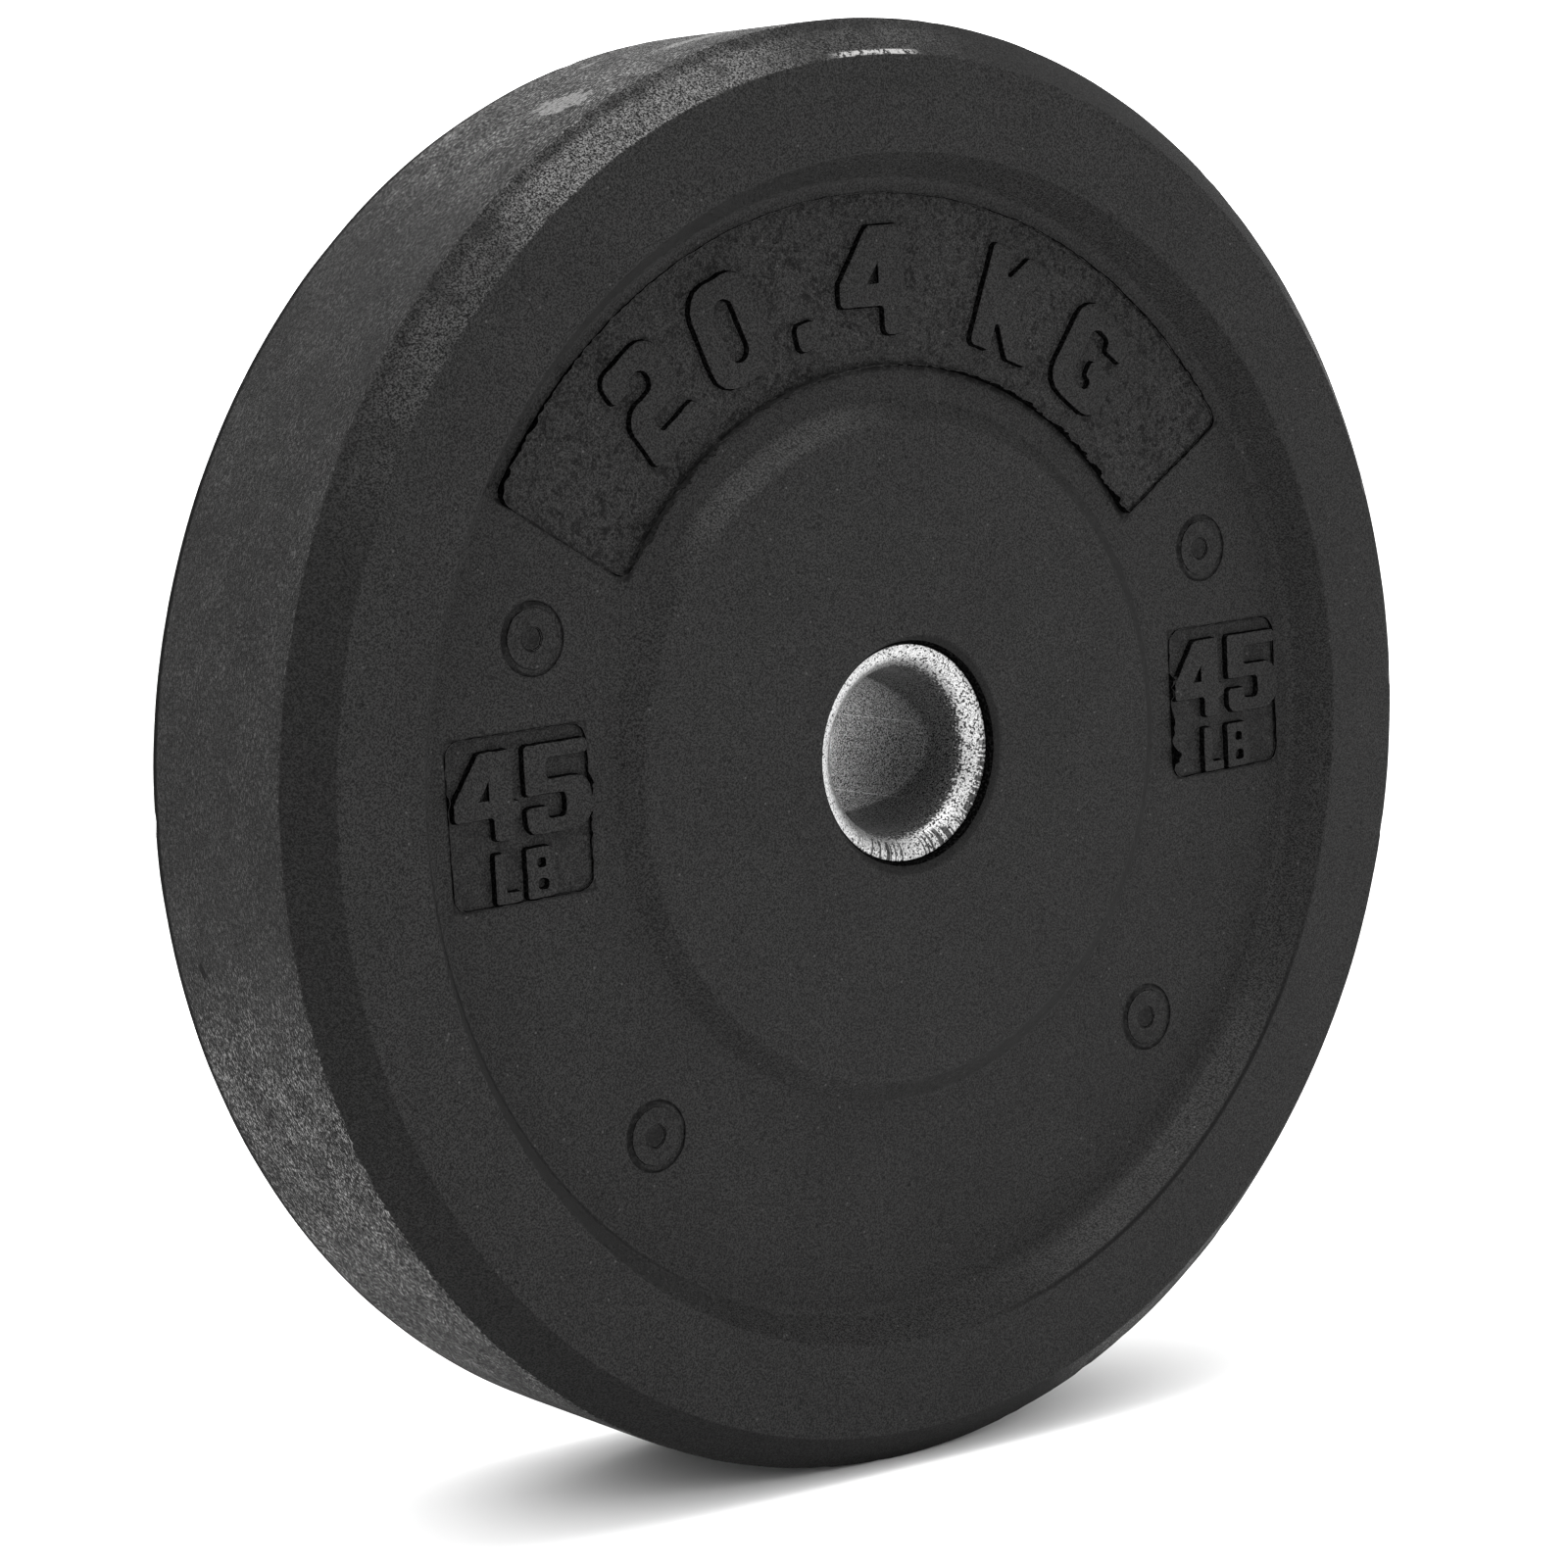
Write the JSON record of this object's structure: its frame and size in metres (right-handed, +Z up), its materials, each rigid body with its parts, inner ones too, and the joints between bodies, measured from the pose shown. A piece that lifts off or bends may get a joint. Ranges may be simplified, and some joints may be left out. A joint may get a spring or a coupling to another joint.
{
  "type": "bumper plate",
  "caption": "Thick round crumb-rubber barbell weight plate with bevelled rim, dished web, raised boss and steel-lined centre bore, standing on its rim.",
  "frame": {"origin": "centre of the plate, on the bore's axis, halfway between the two rim faces", "axes": "+Y along the bore from the front face to the back face, +Z up with the plate standing on its rim, +X to the right seen from the front"},
  "size_m": [0.4494, 0.092, 0.4494],
  "materials": {
    "crumb_rubber": "matt black moulded crumb rubber with a fine grain; the tread and bevels are paler and scuffed",
    "turned_steel": "bright turned steel, satin, with tool chatter on its end faces",
    "rolled_steel": "plain rolled steel with mill scale",
    "weld_metal": "rippled weld bead, dull grey"
  },
  "bodies": {
    "root": {"rubber_body": "crumb_rubber", "centre_sleeve": "turned_steel", "anchor_disc": "rolled_steel", "weld_fillet_front": "weld_metal", "weld_fillet_back": "weld_metal"}
  },
  "joints": []
}
